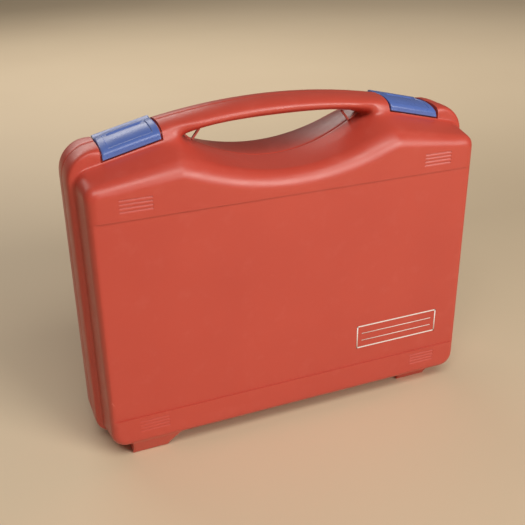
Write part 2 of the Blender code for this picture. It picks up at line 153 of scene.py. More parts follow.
PIN_PLAY = 0.3
AXIS_Z = 4.4
KNUCKLE_RADIUS = 4.1
KNUCKLE_LENGTH = 14.3
KNUCKLE_GAP = 0.2          # half the gap between two knuckles of a hinge
KNUCKLE_CHAMFER = 0.4
HINGE_X = 101.5
HINGE_PIN_RADIUS = 1.5
HINGE_PIN_LENGTH = 29.0
HINGE_PIN_CHAMFER = 0.4

LATCH_X = 96.8             # heights and depths of a latch are in its own sloped frame
LATCH_LENGTH = 36.9
LATCH_AXIS = (13.0, -4.2)
LATCH_BARREL_RADIUS = 3.6
LATCH_PIN_RADIUS = 1.2
LATCH_PIN_LENGTH = 44.8
LATCH_PIN_CHAMFER = 0.3
LATCH_LIP = 17.3
LATCH_LIP_BOTTOM = -7.9
LATCH_ROUND_Z = -5.6
LATCH_SKIN = 2.8
LATCH_HEIGHT = 5.7
LATCH_TOP_END = pi / 2 + 0.48      # angles at which the rolled top ends and the barrel spans
BARREL_FROM = 1.75
BARREL_TO = -pi - 0.55
LATCH_OFFSETS = (0.0, 0.25, 0.55, 0.9, 2.0, 3.2, 4.2, 4.45, 4.7, 6.0, 7.0, 7.3, 7.6)
LATCH_MIDDLE = (-8.0, -4.0, 0.0, 4.0, 8.0)
LATCH_END_ROUND = 0.9
LATCH_END_DROP = 0.45
FIELD_DEPTH = 0.55         # sunk field on top of a latch, with its margin and its range in y
FIELD_MARGIN = 4.2
FIELD_Y = (-14.4, 5.4)
FIELD_SOFT = 0.5
RIDGE_HEIGHT = 0.65        # ridge inside the field
RIDGE_MARGIN = 7.0
RIDGE_Y = 3.6
RIDGE_HALF_WIDTH = 0.75
RIDGE_SOFT = (0.35, 0.6)
SEAT_BOTTOM = -8.6
SEAT_TOP = 5.0
SEAT_REACH = 19.0
SEAT_OVERLAP = 3.0         # how far the seats reach over the parting plane
SEAT_MARGIN = 1.35

EYELET_FOOT = (55.5, 201.6)
EYELET_TIPS = ((50.0, 208.6), (61.5, 207.4))
EYELET_HALF_WIDTH = 0.6
EYELET_DEPTH = (-2.2, -0.3)

PLATE = (47.0, 45.5, 112.0, 63.5)  # printed name plate: x, z of two opposite corners
PLATE_LINE = 0.9
RULE_LINE = 0.6
RULE_MARGIN = 4.0
RULE_HEIGHTS = (5.6, 11.2)
PRINT_RISE = 0.07
PRINT_ROOT = 0.3

FOAM_HALF_WIDTH = 126.5
FOAM_BOTTOM = 16.0
FOAM_TOP = 173.5
FOAM_CORNER = 14.0
FOAM_SOFT = 1.2            # rounding of the outer edges
FOAM_PAD = (30.4, 38.2)    # range in depth
FOAM_BLOCK = (1.0, 30.0)
FOAM_POCKETS = (
    (-117.0, 43.0, 24.0, 164.0),
    (56.0, 116.0, 24.0, 84.0),
    (56.0, 116.0, 98.0, 164.0),
)
POCKET_CORNER = 9.0
POCKET_REACH = 45.0

# Mesh settings --------------------------------------------------------------------------------
VOXEL = 0.9
FLAT_AREA = 55.0           # faces larger than this are flat-shaded
SHARP_ANGLE = radians(34)
PANEL_CUTS = 24            # the floor of the panel is cut into a grid, to hold its wear even
OUTLINE_STEP = 2.0
CUSP_ZONE = (52, 92, 150)  # from x, to x and above z, where the outline is evened out
CUSP_ROUNDS = 16
EDGE_STEPS = 8             # of the rounding from the tray wall to the face
GAP_STATIONS = 34
UNDER_STEPS = 15
TOP_STEPS = 44             # of a latch's rolled top outside, inside, and its barrel
INNER_STEPS = 16
BARREL_STEPS = 32
ROD_SIDES = 40
FAIR_SHARE = 0.35          # evening out of the whole shell, which leaves the soles flat
FAIR_ABOVE = 1.0
FAIR_ROUNDS = 6
ROOT_MIDDLE = (70.0, -19.0, 207.0)     # root of the handle, evened out more
ROOT_REACH = (17.0, 11.0, 15.0)
ROOT_SHARE = 0.5
ROOT_ROUNDS = 160
TRAY_DEPTHS = (-1.0, 0.0, 0.4, 0.8, 5.0, 10.0, 15.4, 21.0, 26.0)      # rings of the tray wall
CAVITY_DEPTHS = (-3.0, 5.0, 15.4, 21.0, 26.0)
FLANGE_DEPTHS = (
    (-2.0, 0.0, 0.25, 0.5, PARTING_ROUND, 5.0, 8.0, 10.0, 12.0)
    + (13.5, 14.6, 15.5, 16.2, 16.7, RIM_DEPTH)
)

work = bpy.data.collections.new("work")
bpy.context.scene.collection.children.link(work)


# Materials: scales are per metre ---------------------------------------------------------------
MOTTLE_SCALE = 16.0
PATCH_SCALE = 75.0
HAIR_SCALE = 420.0
SPARK_SCALE = 2600.0
STREAK_SCALE = 5200.0
CELL_SCALE = 1150.0
UNEVEN_SCALE = 140.0
PRINT_SCALE = 600.0
CLOUD_SCALE = 3.0
WORN_EDGE = (0.53, 0.62)   # pointiness from which the edges look rubbed


def new_material(name):
    material = bpy.data.materials.new(name)
    material.use_nodes = True
    tree = material.node_tree
    shader = tree.nodes["Principled BSDF"]
    return material, tree, shader


def add_node(tree, kind, inputs=None, **settings):
    node = tree.nodes.new(kind)
    for key, value in settings.items():
        setattr(node, key, value)
    for key, value in (inputs or {}).items():
        if isinstance(value, bpy.types.NodeSocket):
            tree.links.new(value, node.inputs[key])
        else:
            node.inputs[key].default_value = value
    return node


def noise_of(tree, where, scale, detail=2.0, rough=0.5):
    node = add_node(
        tree,
        "ShaderNodeTexNoise",
        {"Vector": where, "Scale": scale, "Detail": detail, "Roughness": rough},
    )
    return node.outputs["Fac"]


def ramp(tree, value, low, high, to_low, to_high):
    node = add_node(
        tree,
        "ShaderNodeMapRange",
        {
            "Value": value,
            "From Min": low,
            "From Max": high,
            "To Min": to_low,
            "To Max": to_high,
        },
    )
    return node.outputs["Result"]


def mix_colour(tree, factor, a, b):
    node = add_node(tree, "ShaderNodeMix", data_type="RGBA")
    for key, value in (("Factor", factor), ("A", a), ("B", b)):
        socket = node.inputs[key]
        if isinstance(value, bpy.types.NodeSocket):
            tree.links.new(value, socket)
        else:
            socket.default_value = value
    return node.outputs["Result"]


def moulded_plastic(name, base, pale, deep, roughness, grain, gloss):
    """Injection-moulded plastic: eroded grain, faint mottling, rubbed edges, hairline marks."""
    material, tree, shader = new_material(name)
    where = add_node(tree, "ShaderNodeTexCoord").outputs["Object"]
    mottle = noise_of(tree, where, MOTTLE_SCALE, 3.0)
    patch = noise_of(tree, where, PATCH_SCALE, 4.0, 0.6)
    colour = mix_colour(tree, ramp(tree, mottle, 0.3, 0.7, 0.0, 0.5), base, deep)
    colour = mix_colour(tree, ramp(tree, patch, 0.55, 0.8, 0.0, 0.16), colour, pale)
    pointy = add_node(tree, "ShaderNodeNewGeometry").outputs["Pointiness"]
    worn = ramp(tree, pointy, *WORN_EDGE, 0.0, 0.5)
    colour = mix_colour(tree, worn, colour, pale)
    stretch = add_node(tree, "ShaderNodeMapping", {"Vector": where, "Scale": (1.0, 14.0, 0.35)})
    hair = noise_of(tree, stretch.outputs["Vector"], HAIR_SCALE, 2.0)
    rough = ramp(tree, patch, 0.3, 0.75, roughness - 0.05, roughness + 0.07)
    rub = add_node(
        tree,
        "ShaderNodeMath",
        {0: rough, 1: ramp(tree, hair, 0.66, 0.82, 0.0, -0.05)},
        operation="ADD",
    )
    spark = noise_of(tree, where, SPARK_SCALE, 3.0, 0.6)
    fine = add_node(
        tree,
        "ShaderNodeBump",
        {"Height": spark, "Strength": grain, "Distance": 0.00012},
    )
    soft = add_node(
        tree,
        "ShaderNodeBump",
        {"Height": mottle, "Strength": 0.12, "Distance": 0.0012, "Normal": fine.outputs["Normal"]},
    )
    tree.links.new(colour, shader.inputs["Base Color"])
    tree.links.new(rub.outputs["Value"], shader.inputs["Roughness"])
    tree.links.new(soft.outputs["Normal"], shader.inputs["Normal"])
    shader.inputs["Specular IOR Level"].default_value = gloss
    shader.inputs["IOR"].default_value = 1.49
    return material


def drawn_steel(name):
    """Drawn wire: fine streaks along x."""
    material, tree, shader = new_material(name)
    where = add_node(tree, "ShaderNodeTexCoord").outputs["Object"]
    along = add_node(tree, "ShaderNodeMapping", {"Vector": where, "Scale": (0.05, 1.0, 1.0)})
    streak = noise_of(tree, along.outputs["Vector"], STREAK_SCALE, 3.0)
    colour = mix_colour(tree, streak, (0.40, 0.40, 0.41, 1.0), (0.62, 0.62, 0.63, 1.0))
    bump = add_node(
        tree, "ShaderNodeBump", {"Height": streak, "Strength": 0.2, "Distance": 0.00005}
    )
    tree.links.new(colour, shader.inputs["Base Color"])
    tree.links.new(ramp(tree, streak, 0.3, 0.7, 0.22, 0.40), shader.inputs["Roughness"])
    tree.links.new(bump.outputs["Normal"], shader.inputs["Normal"])
    shader.inputs["Metallic"].default_value = 1.0
    return material


def open_cell_foam(name, pore_shade_and_dark_tone, light):
    """Cut polyurethane foam: round cells with thin walls, lighter than the pores, which carry
    painted shade.
    """
    material, tree, shader = new_material(name)
    where = add_node(tree, "ShaderNodeTexCoord").outputs["Object"]
    cells = add_node(
        tree,
        "ShaderNodeTexVoronoi",
        {"Vector": where, "Scale": CELL_SCALE},
        feature="DISTANCE_TO_EDGE",
    )
    wall = ramp(tree, cells.outputs["Distance"], 0.0, 0.25, 1.0, 0.0)
    uneven = noise_of(tree, where, UNEVEN_SCALE, 4.0)
    # painted shade: the pores between the cell walls get the dark colour, which stands for the
    # shade inside them
    colour = mix_colour(tree, wall, pore_shade_and_dark_tone, light)
    # darker patches at random: the foam's own uneven tone
    colour = mix_colour(tree, ramp(tree, uneven, 0.35, 0.7, 0.0, 0.35), colour, pore_shade_and_dark_tone)
    bump = add_node(tree, "ShaderNodeBump", {"Height": wall, "Strength": 0.8, "Distance": 0.0004})
    tree.links.new(colour, shader.inputs["Base Color"])
    tree.links.new(bump.outputs["Normal"], shader.inputs["Normal"])
    shader.inputs["Roughness"].default_value = 0.95
    shader.inputs["Sheen Weight"].default_value = 0.15
    return material


def printed_white(name):
    """White pad-printing ink, a little worn."""
    material, tree, shader = new_material(name)
    where = add_node(tree, "ShaderNodeTexCoord").outputs["Object"]
    patch = noise_of(tree, where, PRINT_SCALE, 3.0)
    colour = mix_colour(tree, patch, (0.83, 0.82, 0.80, 1.0), (0.70, 0.67, 0.64, 1.0))
    tree.links.new(colour, shader.inputs["Base Color"])
    tree.links.new(ramp(tree, patch, 0.3, 0.7, 0.4, 0.55), shader.inputs["Roughness"])
    return material


RED = moulded_plastic(
    "red_polypropylene",
    base=(0.53, 0.066, 0.042, 1.0),
    pale=(0.66, 0.16, 0.12, 1.0),
    deep=(0.47, 0.052, 0.034, 1.0),
    roughness=0.37,
    grain=0.22,
    gloss=0.62,
)
BLUE = moulded_plastic(
    "blue_polypropylene",
    base=(0.092, 0.158, 0.47, 1.0),
    pale=(0.23, 0.33, 0.68, 1.0),
    deep=(0.074, 0.134, 0.41, 1.0),
    roughness=0.30,
    grain=0.16,
    gloss=0.6,
)
STEEL = drawn_steel("drawn_steel")
FOAM = open_cell_foam(
    # the dark colour is both the painted shade of the pores and the foam's darker patches
    "charcoal_foam", pore_shade_and_dark_tone=(0.018, 0.018, 0.020, 1.0), light=(0.075, 0.075, 0.082, 1.0)
)
WHITE = printed_white("white_print")


# Stage ----------------------------------------------------------------------------------------
AZIMUTH = radians(-21.85)
ELEVATION = radians(25.63)
ROLL = radians(-0.817)
CAMERA_DISTANCE = 0.55
CAMERA_LENS = 53.7
CAMERA_AIM = Vector((-0.0079, 0.0002, -0.0059))    # from the middle of the object

FLOOR_HALF_WIDTH = 4.0
FLOOR_REACH = 3.0
FLOOR_LIGHT = (0.71, 0.58, 0.41, 1.0)
FLOOR_DARK = (0.66, 0.53, 0.37, 1.0)
WORLD_COLOUR = (0.80, 0.70, 0.58, 1.0)
WORLD_STRENGTH = 0.15
WARM = (1.0, 0.96, 0.90)
LIGHTS = (                 # name, place, aim, size, power
    ("key", (0.85, -1.6, 0.95), (0.0, 0.0, 0.11), (0.9, 0.9), 22.5),
    ("strip", (-0.1, -0.7, 1.15), (0.0, 0.0, 0.15), (1.1, 0.45), 9.0),
    ("back", (-0.35, 1.6, 1.0), (0.0, 0.0, 0.1), (1.4, 0.5), 8.0),
    ("backdrop", (0.55, 0.45, 1.3), (0.95, 2.45, 0.9), (1.6, 0.6), 23.0),
)


def place_camera():
    """Camera aimed near the middle of the object, with a slight roll."""
    middle = (CAD_LOW + CAD_HIGH) / 2
    aim = middle + CAMERA_AIM
    back = Vector(
        (
            sin(AZIMUTH) * cos(ELEVATION),
            -cos(AZIMUTH) * cos(ELEVATION),
            sin(ELEVATION),
        )
    )
    right = Vector((cos(AZIMUTH), sin(AZIMUTH), 0.0))
    up = back.cross(right)
    tilted = right * cos(ROLL) + up * sin(ROLL)
    upright = up * cos(ROLL) - right * sin(ROLL)
    camera = bpy.data.objects.new("camera", bpy.data.cameras.new("camera"))
    bpy.context.scene.collection.objects.link(camera)
    camera.data.lens = CAMERA_LENS
    camera.data.sensor_width = 36.0
    camera.data.clip_start = 0.01
    turn = Matrix((tilted, upright, back)).transposed().to_4x4()
    camera.matrix_world = Matrix.Translation(aim + back * CAMERA_DISTANCE) @ turn
    bpy.context.scene.camera = camera


def area_light(name, where, toward, size, power):
    light = bpy.data.lights.new(name, "AREA")
    light.shape = "RECTANGLE"
    light.size, light.size_y = size
    light.energy = power
    light.color = WARM
    item = bpy.data.objects.new(name, light)
    item.location = where
    item.rotation_mode = "QUATERNION"
    item.rotation_quaternion = (Vector(toward) - Vector(where)).to_track_quat("-Z", "Y")
    bpy.context.scene.collection.objects.link(item)


def build_stage():
    """Lights and a pale floor; its front half moves with the lid, which swings below it."""
    material, tree, shader = new_material("pale_floor")
    where = add_node(tree, "ShaderNodeNewGeometry").outputs["Position"]
    cloud = noise_of(tree, where, CLOUD_SCALE, 2.0)
    colour = mix_colour(tree, cloud, FLOOR_DARK, FLOOR_LIGHT)
    tree.links.new(colour, shader.inputs["Base Color"])
    shader.inputs["Roughness"].default_value = 0.6
    wide = FLOOR_HALF_WIDTH
    for name, y_from, y_to, body in (
        ("floor_front", -FLOOR_REACH, 0.0, "lid"),
        ("floor_rear", 0.0, FLOOR_REACH, "base"),
    ):
        mesh = bpy.data.meshes.new(name)
        corners = [(-wide, y_from, 0.0), (wide, y_from, 0.0), (wide, y_to, 0.0), (-wide, y_to, 0.0)]
        mesh.from_pydata(corners, [], [(0, 1, 2, 3)])
        mesh.materials.append(material)
        floor = bpy.data.objects.new(name, mesh)
        bpy.context.scene.collection.objects.link(floor)
        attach(floor, body)
    world = bpy.data.worlds.new("pale_room")
    world.use_nodes = True
    background = world.node_tree.nodes["Background"]
    background.inputs["Color"].default_value = WORLD_COLOUR
    background.inputs["Strength"].default_value = WORLD_STRENGTH
    bpy.context.scene.world = world
    bpy.context.scene.view_settings.view_transform = "Standard"
    for light in LIGHTS:
        area_light(*light)


# Outlines: half of each is listed from the bottom up, as x, z, corner radius, edge rounding -----
def tray_corners(bottom, half_width, corner_z, corner_radius, cusp, curl, curve):
    """Half outline of the tray: bottom, side, shoulder, cusp and finger scoop."""
    scoop = [
        (x, SCOOP_FLOOR + curve * x * x, 0, EDGE_SCOOP) for x in range(SCOOP_END, -1, -SCOOP_STEP)
    ]
    shoulder = []
    for share in SHOULDER_SHARES:
        x = half_width + (cusp[0] - half_width) * share
        z = corner_z + (cusp[1] - corner_z) * share
        shoulder.append((x, z, 0, EDGE_SHOULDER[0] + EDGE_SHOULDER[1] * share))
    return [
        (0.0, bottom, 0, EDGE_BOTTOM),
        (half_width, bottom, TRAY_RADIUS_LOW, EDGE_BOTTOM),
        (half_width, corner_z, corner_radius, EDGE_CORNER),
        *shoulder,
        (*cusp, CUSP_RADIUS, EDGE_CUSP),
        (*curl, 0, EDGE_CURL),
        *scoop,
    ]


def rim_top(x):
    return RIM_TOP - ARCH * x * x


def rim_corners():
    """Half outline of the flange plate, whose top is the back of the handle."""
    top = [(x, rim_top(x), 0, RIM_ROUND_TOP) for x in range(RIM_END, -1, -RIM_STEP)]
    return [
        (0.0, RIM_BOTTOM, 0, RIM_ROUND_SIDE),
        (RIM_HALF_WIDTH, RIM_BOTTOM, RIM_RADIUS_LOW, RIM_ROUND_SIDE),
        (RIM_HALF_WIDTH, RIM_CORNER_Z, RIM_RADIUS_HIGH, RIM_ROUND_CORNER),
    ] + top


def fillet(before, corner, after, radius, steps=10):
    """Points on the arc that rounds a corner."""
    corner = Vector(corner)
    back = (Vector(before) - corner).normalized()
    ahead = (Vector(after) - corner).normalized()
    half = back.angle(ahead) / 2
    centre = corner + (back + ahead).normalized() * (radius / sin(half))
    first = corner + back * (radius / tan(half)) - centre
    last = corner + ahead * (radius / tan(half)) - centre
    start = atan2(first.y, first.x)
    sweep = (atan2(last.y, last.x) - start + pi) % (2 * pi) - pi
    angles = [start + sweep * step / steps for step in range(steps + 1)]
    return [(centre.x + radius * cos(a), centre.y + radius * sin(a)) for a in angles]


def half_outline(corners):
    """Corner list to an array of x, z and edge rounding."""
    points = [(corners[0][0], corners[0][1], corners[0][3])]
    for before, here, after in zip(corners, corners[1:], corners[2:]):
        if here[2]:
            arc = fillet(before[:2], here[:2], after[:2], here[2])
            points += [(x, z, here[3]) for x, z in arc]
        else:
            points.append((here[0], here[1], here[3]))
    points.append((corners[-1][0], corners[-1][1], corners[-1][3]))
    return np.array(points)


def cut_counts(points):
    """Into how many parts each edge of an outline is cut so that none is much over a step."""
    lengths = np.linalg.norm(np.diff(points[:, :2], axis=0), axis=1)
    return [max(1, ceil(length / OUTLINE_STEP)) for length in lengths]


def refined(points, counts):
    rows = []
    for a, b, count in zip(points, points[1:], counts):
        rows += [a + (b - a) * part / count for part in range(count)]
    return np.array(rows + [points[-1]])


def closed(points):
    """Half outline joined to its mirror image, counter-clockwise from the bottom middle."""
    mirrored = points[-2:0:-1] * np.array([-1.0, 1.0, 1.0])
    return np.vstack([points, mirrored])


def softened(outline, chosen, rounds):
    """Outline with its chosen points evened out."""
    outline = outline.copy()
    for _ in range(rounds):
        middle = (np.roll(outline, 1, axis=0) + np.roll(outline, -1, axis=0)) / 2
        outline[chosen] += (middle[chosen] - outline[chosen]) * 0.5
    return outline


def outward_normals(outline):
    along = np.roll(outline[:, :2], -1, axis=0) - np.roll(outline[:, :2], 1, axis=0)
    along /= np.linalg.norm(along, axis=1)[:, None]
    return np.column_stack([along[:, 1], -along[:, 0]])


# Mesh helpers ---------------------------------------------------------------------------------
def add_object(name, bm, matrix=Matrix.Identity(4)):
    """Working object of a bmesh, which is freed."""
    bmesh.ops.transform(bm, matrix=matrix, verts=bm.verts)
    bmesh.ops.recalc_face_normals(bm, faces=bm.faces)
    mesh = bpy.data.meshes.new(name)
    bm.to_mesh(mesh)
    bm.free()
    item = bpy.data.objects.new(name, mesh)
    work.objects.link(item)
    item.hide_render = True
    return item


def loft(name, rings, matrix=Matrix.Identity(4)):
    """Closed solid through rings of points, with a cap on the first and the last."""
    bm = bmesh.new()
    loops = [[bm.verts.new(point) for point in ring] for ring in rings]
    count = len(rings[0])
    for near, far in zip(loops, loops[1:]):
        for index in range(count):
            follow = (index + 1) % count
            bm.faces.new((near[index], near[follow], far[follow], far[index]))
    bm.faces.new(loops[0])
    bm.faces.new(loops[-1])
    return add_object(name, bm, matrix)


def prism_x(name, section, half_length, lean, matrix=Matrix.Identity(4)):
    """Section in y, z drawn out along x; lean is how far its ends move in x per unit of z."""
    ends = (-half_length, half_length)
    return loft(name, [[(x + lean * z, y, z) for y, z in section] for x in ends], matrix)


def prism_y(name, outline, y_from, y_to, matrix=Matrix.Identity(4)):
    """Outline in x, z drawn out along y."""
    return loft(name, [[(x, y, z) for x, z in outline] for y in (y_from, y_to)], matrix)


def block(name, lowest, highest, matrix=Matrix.Identity(4)):
    size = [high - low for low, high in zip(lowest, highest)]
    middle = [(high + low) / 2 for low, high in zip(lowest, highest)]
    bm = bmesh.new()
    place = Matrix.Translation(middle) @ Matrix.Diagonal((*size, 1.0))
    bmesh.ops.create_cube(bm, size=1.0, matrix=place)
    return add_object(name, bm, matrix)


def rod_x(name, radius, length, centre, matrix=Matrix.Identity(4), chamfer=0.0):
    """Round bar along x, with chamfered ends where a chamfer is given."""
    half = length / 2
    rings = []
    stations = [(-half, radius), (half, radius)]
    if chamfer:
        inner = radius - chamfer
        stations = [
            (-half, inner), (chamfer - half, radius), (half - chamfer, radius), (half, inner)
        ]
    for x, size in stations:
        ring = []
        for step in range(ROD_SIDES):
            turn = 2 * pi * step / ROD_SIDES
            ring.append((centre[0] + x, centre[1] + size * cos(turn), centre[2] + size * sin(turn)))
        rings.append(ring)
    return loft(name, rings, matrix)


def combine(item, operation, other):
    """Adds a boolean with another working object."""
    modifier = item.modifiers.new(other.name, "BOOLEAN")
    modifier.operation = operation
    modifier.object = other
    modifier.solver = "EXACT"


def bake(item):
    """Applies an object's modifiers."""
    graph = bpy.context.evaluated_depsgraph_get()
    mesh = bpy.data.meshes.new_from_object(item.evaluated_get(graph))
    item.modifiers.clear()
    item.data = mesh
    return item


def joined(name, items):
    """One mesh of several closed bodies, without materials."""
    bm = bmesh.new()
    for item in items:
        bm.from_mesh(item.data)
    mesh = bpy.data.meshes.new(name)
    bm.to_mesh(mesh)
    bm.free()
    result = bpy.data.objects.new(name, mesh)
    work.objects.link(result)
    result.hide_render = True
    return result


def turned_copy(item, name):
    """Copy turned half a turn about z."""
    mesh = item.data.copy()
    mesh.transform(Matrix.Rotation(pi, 4, "Z"))
    result = bpy.data.objects.new(name, mesh)
    work.objects.link(result)
    result.hide_render = True
    return result


def relax(item, weigh, rounds):
    """Evens out a dense mesh; weigh gives each point's share, from its x, y, z columns."""
    mesh = item.data
    count = len(mesh.vertices)
    points = np.zeros(count * 3)
    mesh.vertices.foreach_get("co", points)
    points = points.reshape(-1, 3)
    ends = np.zeros(len(mesh.edges) * 2, dtype=np.int64)
    mesh.edges.foreach_get("vertices", ends)
    a, b = ends.reshape(-1, 2).T
    degree = np.bincount(a, minlength=count) + np.bincount(b, minlength=count)
    weight = weigh(*points.T)[:, None]
    for _ in range(rounds):
        total = np.zeros_like(points)
        for axis in range(3):
            total[:, axis] = np.bincount(a, weights=points[b, axis], minlength=count)
            total[:, axis] += np.bincount(b, weights=points[a, axis], minlength=count)
        points += (total / degree[:, None] - points) * weight
    mesh.vertices.foreach_set("co", points.ravel())
    mesh.update()


def bump_share(value, middle, reach):
    """One at the middle, falling smoothly to nothing at the reach."""
    share = np.clip(1 - np.abs(value - middle) / reach, 0.0, 1.0)
    return share * share * (3 - 2 * share)


def finish_piece(item, name, material, node, body):
    """Turns a working mesh into a visible piece, in metres; node is the solid it stands for."""
    item.name = name
    item.data.name = name
    item.data.transform(Matrix.Scale(MM, 4))
    item.data.materials.append(material)
    item.data.shade_smooth()
    item.data.set_sharp_from_angle(angle=SHARP_ANGLE)
    for face in item.data.polygons:
        face.use_smooth = face.area < FLAT_AREA * MM * MM
    work.objects.unlink(item)
    bpy.context.scene.collection.objects.link(item)
    item.hide_render = False
    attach(item, body)
    if node:
        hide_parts(node)


# The half shell -------------------------------------------------------------------------------
def tray_levels():
    """Distance from the parting plane and closed outline of each level, with matching points."""
    halves = []
    for (depth, *shape), curve in zip(TRAY_SHAPES, SCOOP_CURVES):
        halves.append((depth, half_outline(tray_corners(*shape, curve))))
    counts = cut_counts(halves[1][1])
    levels = []
    for depth, half in halves:
        outline = closed(refined(half, counts))
        across = np.abs(outline[:, 0])
        cusp = (across > CUSP_ZONE[0]) & (across < CUSP_ZONE[1]) & (outline[:, 1] > CUSP_ZONE[2])
        levels.append((depth, softened(outline, cusp, CUSP_ROUNDS)))
    return levels


def tray_at(levels, depth):
    """Outline of the drafted tray wall at a distance from the parting plane."""
    for (near, inner), (far, outer) in zip(levels, levels[1:]):
        if depth <= far:
            break
    return inner + (outer - inner) * (depth - near) / (far - near)


def tray_rings(levels, depths, inset):
    """Rings from the parting plane out to the face; inset is 0 outside and WALL inside."""
    wall_normals = outward_normals(levels[1][1])
    face_normals = outward_normals(levels[2][1])
    edges = levels[1][1][:, 2]
    rings = []
    for depth in depths:
        lip = 0.0 if inset else PARTING_ROUND * max(1 - max(depth, 0.0) / PARTING_ROUND, 0.0) ** 2
        spots = tray_at(levels, depth)[:, :2] - wall_normals * (inset + lip)
        rings.append([(x, -depth, z) for x, z in spots])
    start = max(depths)
    for step in range(EDGE_STEPS + 1):
        turn = pi / 2 * step / EDGE_STEPS
        ring = []
        for index, normal in enumerate(face_normals):
            radius = edges[index] - inset
            depth = HALF_DEPTH - inset - radius * (1 - sin(turn))
            wall = tray_at(levels, max(depth, start + 0.2))[index, :2]
            spot = wall - normal * (inset + radius * (1 - cos(turn)))
            ring.append((spot[0], -depth, spot[1]))
        rings.append(ring)
    return rings


def rim_rings():
    """Rings of the flange plate, which rolls over towards its front edge."""
    half = half_outline(rim_corners())
    outline = closed(refined(half, cut_counts(half)))
    normals = outward_normals(outline)
    rings = []
    for depth in FLANGE_DEPTHS:
        lip = PARTING_ROUND * max(1 - max(depth, 0.0) / PARTING_ROUND, 0.0) ** 2
        share = max(depth, 0.0) / RIM_DEPTH
        ring = []
        for (x, z, drop), normal in zip(outline, normals):
            power = 2.0 + (RIM_ROUND_TOP - drop) * 1.4
            inset = lip + drop * (1 - max(1 - share ** power, 0.0) ** (1 / power))
            ring.append((x - normal[0] * inset, -depth, z - normal[1] * inset))
        rings.append(ring)
    return rings


def handle_middle(x):
    return rim_top(x) - RIM_ROUND_TOP


def handle_under(x):
    return HANDLE_UNDER - HANDLE_DROP[0] * x * x - HANDLE_DROP[1] * x ** 4


def gap_rings():
    """Finger gap between the scoop and the handle, cut from the flange plate."""
    reach = RIM_DEPTH + 2 * HALF_GAP
    behind = 5.0
    rings = []
    for station in range(GAP_STATIONS + 1):
        x = GAP_HALF_LENGTH * (2 * station / GAP_STATIONS - 1)
        middle = handle_middle(x)
        height = middle - handle_under(x)
        floor_back = SCOOP_FLOOR + SCOOP_CURVES[0] * x * x - GAP_BELOW
        floor_front = SCOOP_FLOOR + SCOOP_CURVES[1] * x * x - GAP_BELOW
        section = [(behind, floor_back), (0.0, floor_back)]
        section += [(GAP_FRONT, floor_front), (GAP_FRONT, middle)]
        for step in range(UNDER_STEPS):
            turn = pi / 2 * step / UNDER_STEPS
            section.append((-reach * cos(turn), middle - height * sin(turn)))
        section += [(-PARTING_ROUND, middle - height), (0.0, middle - height + PARTING_ROUND)]
        section.append((behind, middle - height + PARTING_ROUND))
        rings.append([(x * (1 + GAP_SPREAD * min(y, 0.0) / GAP_FRONT), y, z) for y, z in section])
    return rings


def handle_pocket_rings():
    """Hollow of the handle, open at the parting plane."""
    rings = []
    reach = RIM_DEPTH - WALL
    behind = 3.0
    up = RIM_ROUND_TOP - WALL
    steps = 8
    for station in range(-4, 5):
        x = HANDLE_STEP * station
        middle = handle_middle(x)
        down = middle - handle_under(x) - WALL
        section = [(behind, middle - down)]
        for step in range(steps + 1):
            turn = pi * (step / steps - 0.5)
            height = up if turn > 0 else down
            section.append((-reach * cos(turn), middle + height * sin(turn)))
        section.append((behind, middle + up))
        rings.append([(x, y, z) for y, z in section])
    return rings


def build_body(levels):
    """The solid outside of a half shell, with its inside corners and root of the handle faired."""
    rim = loft("rim", rim_rings())
    combine(rim, "DIFFERENCE", loft("finger_gap", gap_rings()))
    bake(rim)
    body = loft("body", tray_rings(levels, TRAY_DEPTHS, 0.0))
    combine(body, "UNION", rim)
    for name, section, ends, lean in FEET:
        rings = [[(ends[0], y, z) for y, z in section]]
        rings.append([(ends[1] + lean * z, y, z) for y, z in section])
        combine(body, "UNION", loft(name, rings))
    remesh = body.modifiers.new("remesh", "REMESH")
    remesh.mode = "VOXEL"
    remesh.voxel_size = VOXEL
    bake(body)

    def everywhere(x, y, z):
        return np.where(z > FAIR_ABOVE, FAIR_SHARE, 0.0)

    def handle_root(x, y, z):
        share_x = bump_share(np.abs(x), ROOT_MIDDLE[0], ROOT_REACH[0])
        share_y = bump_share(y, ROOT_MIDDLE[1], ROOT_REACH[1])
        share_z = bump_share(z, ROOT_MIDDLE[2], ROOT_REACH[2])
        return ROOT_SHARE * (share_x * share_z) * share_y

    relax(body, everywhere, FAIR_ROUNDS)
    relax(body, handle_root, ROOT_ROUNDS)
    return body


def ellipse_arc(reach, height, middle, first, last, steps):
    """Points y, z from angle first to last; the angle is measured from -y upwards."""
    points = []
    for step in range(steps + 1):
        turn = first + (last - first) * step / steps
        points.append((-reach * cos(turn), middle + height * sin(turn)))
    return points


def latch_slope():
    """Slope of the flange's top at the middle of a latch."""
    return 2 * ARCH * LATCH_X


def latch_frame(side):
    """Frame of a latch: on top of the flange, with x along its slope."""
    place = Matrix.Translation((side * LATCH_X, 0.0, rim_top(LATCH_X)))
    return place @ Matrix.Rotation(side * atan(latch_slope()), 4, "Y")


def front_seat_section():
    """Room for the lip and the top of a latch in the front shell."""
    reach = LATCH_LIP - LATCH_SKIN - FIT
    height = -LATCH_ROUND_Z - LATCH_SKIN
    arc = ellipse_arc(reach, height, LATCH_ROUND_Z, 0.0, pi / 2, 12)
    inside = [(-SEAT_REACH, SEAT_BOTTOM), (-reach, SEAT_BOTTOM)]
    above = [(SEAT_OVERLAP, arc[-1][1]), (SEAT_OVERLAP, SEAT_TOP), (-SEAT_REACH, SEAT_TOP)]
    return inside + arc + above


